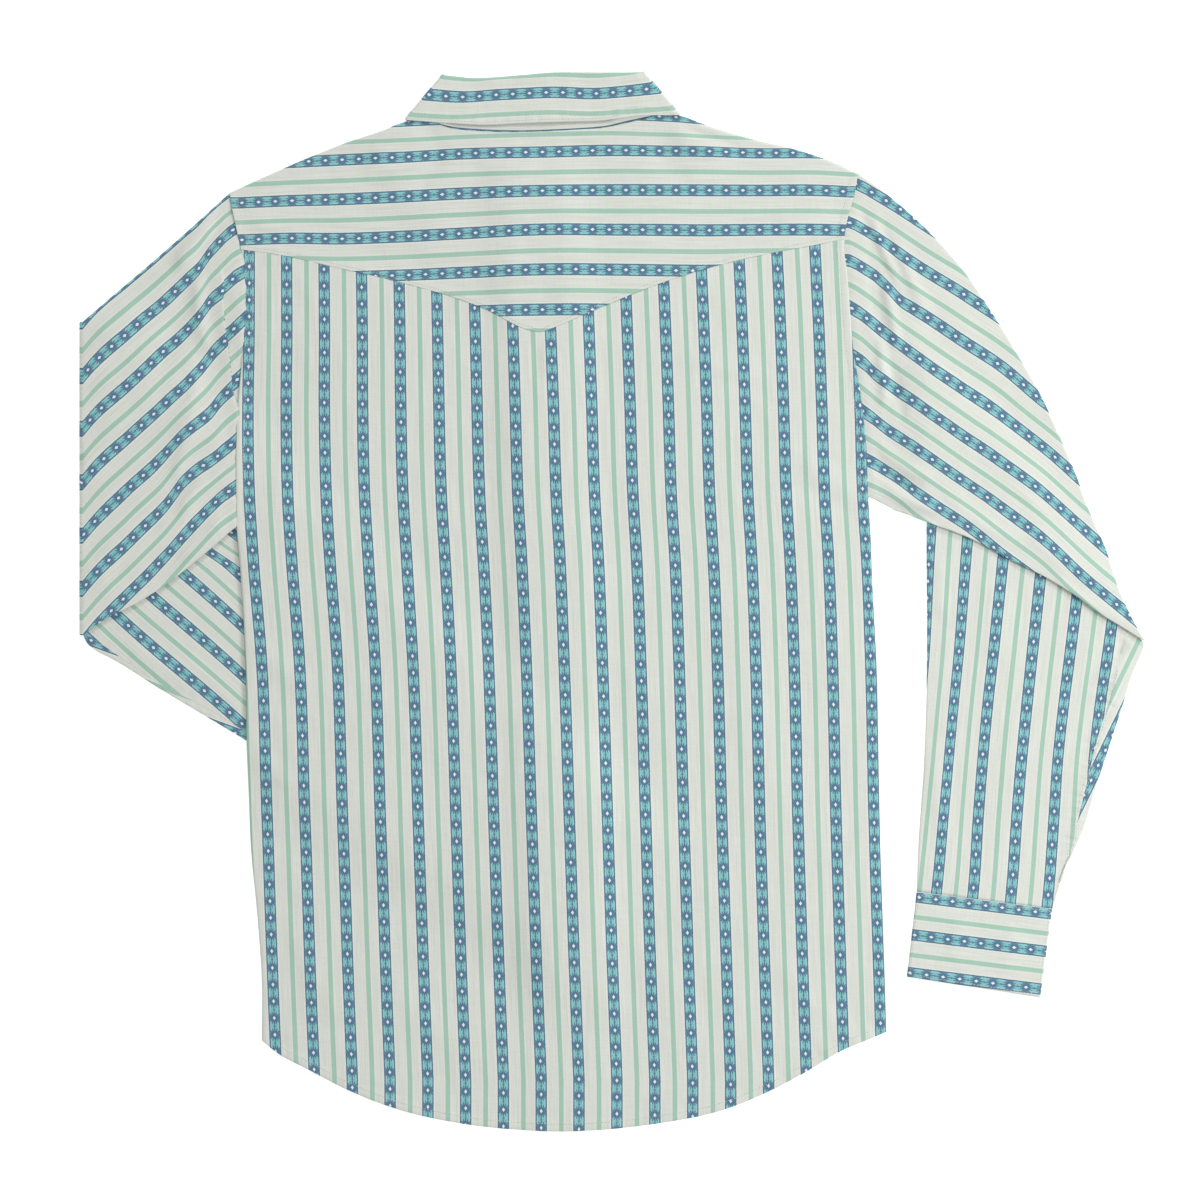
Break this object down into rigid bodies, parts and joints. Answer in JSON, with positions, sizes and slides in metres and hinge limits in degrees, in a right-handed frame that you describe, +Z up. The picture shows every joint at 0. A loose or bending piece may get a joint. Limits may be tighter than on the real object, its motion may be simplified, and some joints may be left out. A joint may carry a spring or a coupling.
{
  "type": "pearl snap shirt",
  "caption": "Long-sleeved snap-front western shirt laid flat on its front, with a pointed back yoke, folded collar, shirt-tail hem and one sleeve folded under the body.",
  "frame": {"origin": "centre of the laid-out shirt's outline, on the surface that it lies on", "axes": "+Z up from the surface, through the back; +Y from the hem to the collar; +X to the wearer's right"},
  "size_m": [0.8521, 0.8477, 0.0113],
  "materials": {
    "striped_cotton": "matt",
    "pearl_snap": "gloss"
  },
  "bodies": {
    "root": {"back_panel": "striped_cotton", "back_yoke": "striped_cotton", "front_left": "striped_cotton", "front_right": "striped_cotton", "front_band_left": "striped_cotton", "front_band_right": "striped_cotton", "collar_leaf": "striped_cotton", "collar_stand": "striped_cotton", "sleeve_left": "striped_cotton", "sleeve_right_upper": "striped_cotton", "sleeve_right_lower": "striped_cotton", "cuff_left": "striped_cotton", "cuff_right": "striped_cotton", "snap_front_1": "pearl_snap", "snap_front_2": "pearl_snap", "snap_front_3": "pearl_snap", "snap_front_4": "pearl_snap", "snap_front_5": "pearl_snap", "snap_front_6": "pearl_snap", "snap_front_7": "pearl_snap", "snap_collar": "pearl_snap", "snap_cuff_left_1": "pearl_snap", "snap_cuff_left_2": "pearl_snap", "snap_cuff_right_1": "pearl_snap", "snap_cuff_right_2": "pearl_snap"}
  },
  "joints": []
}
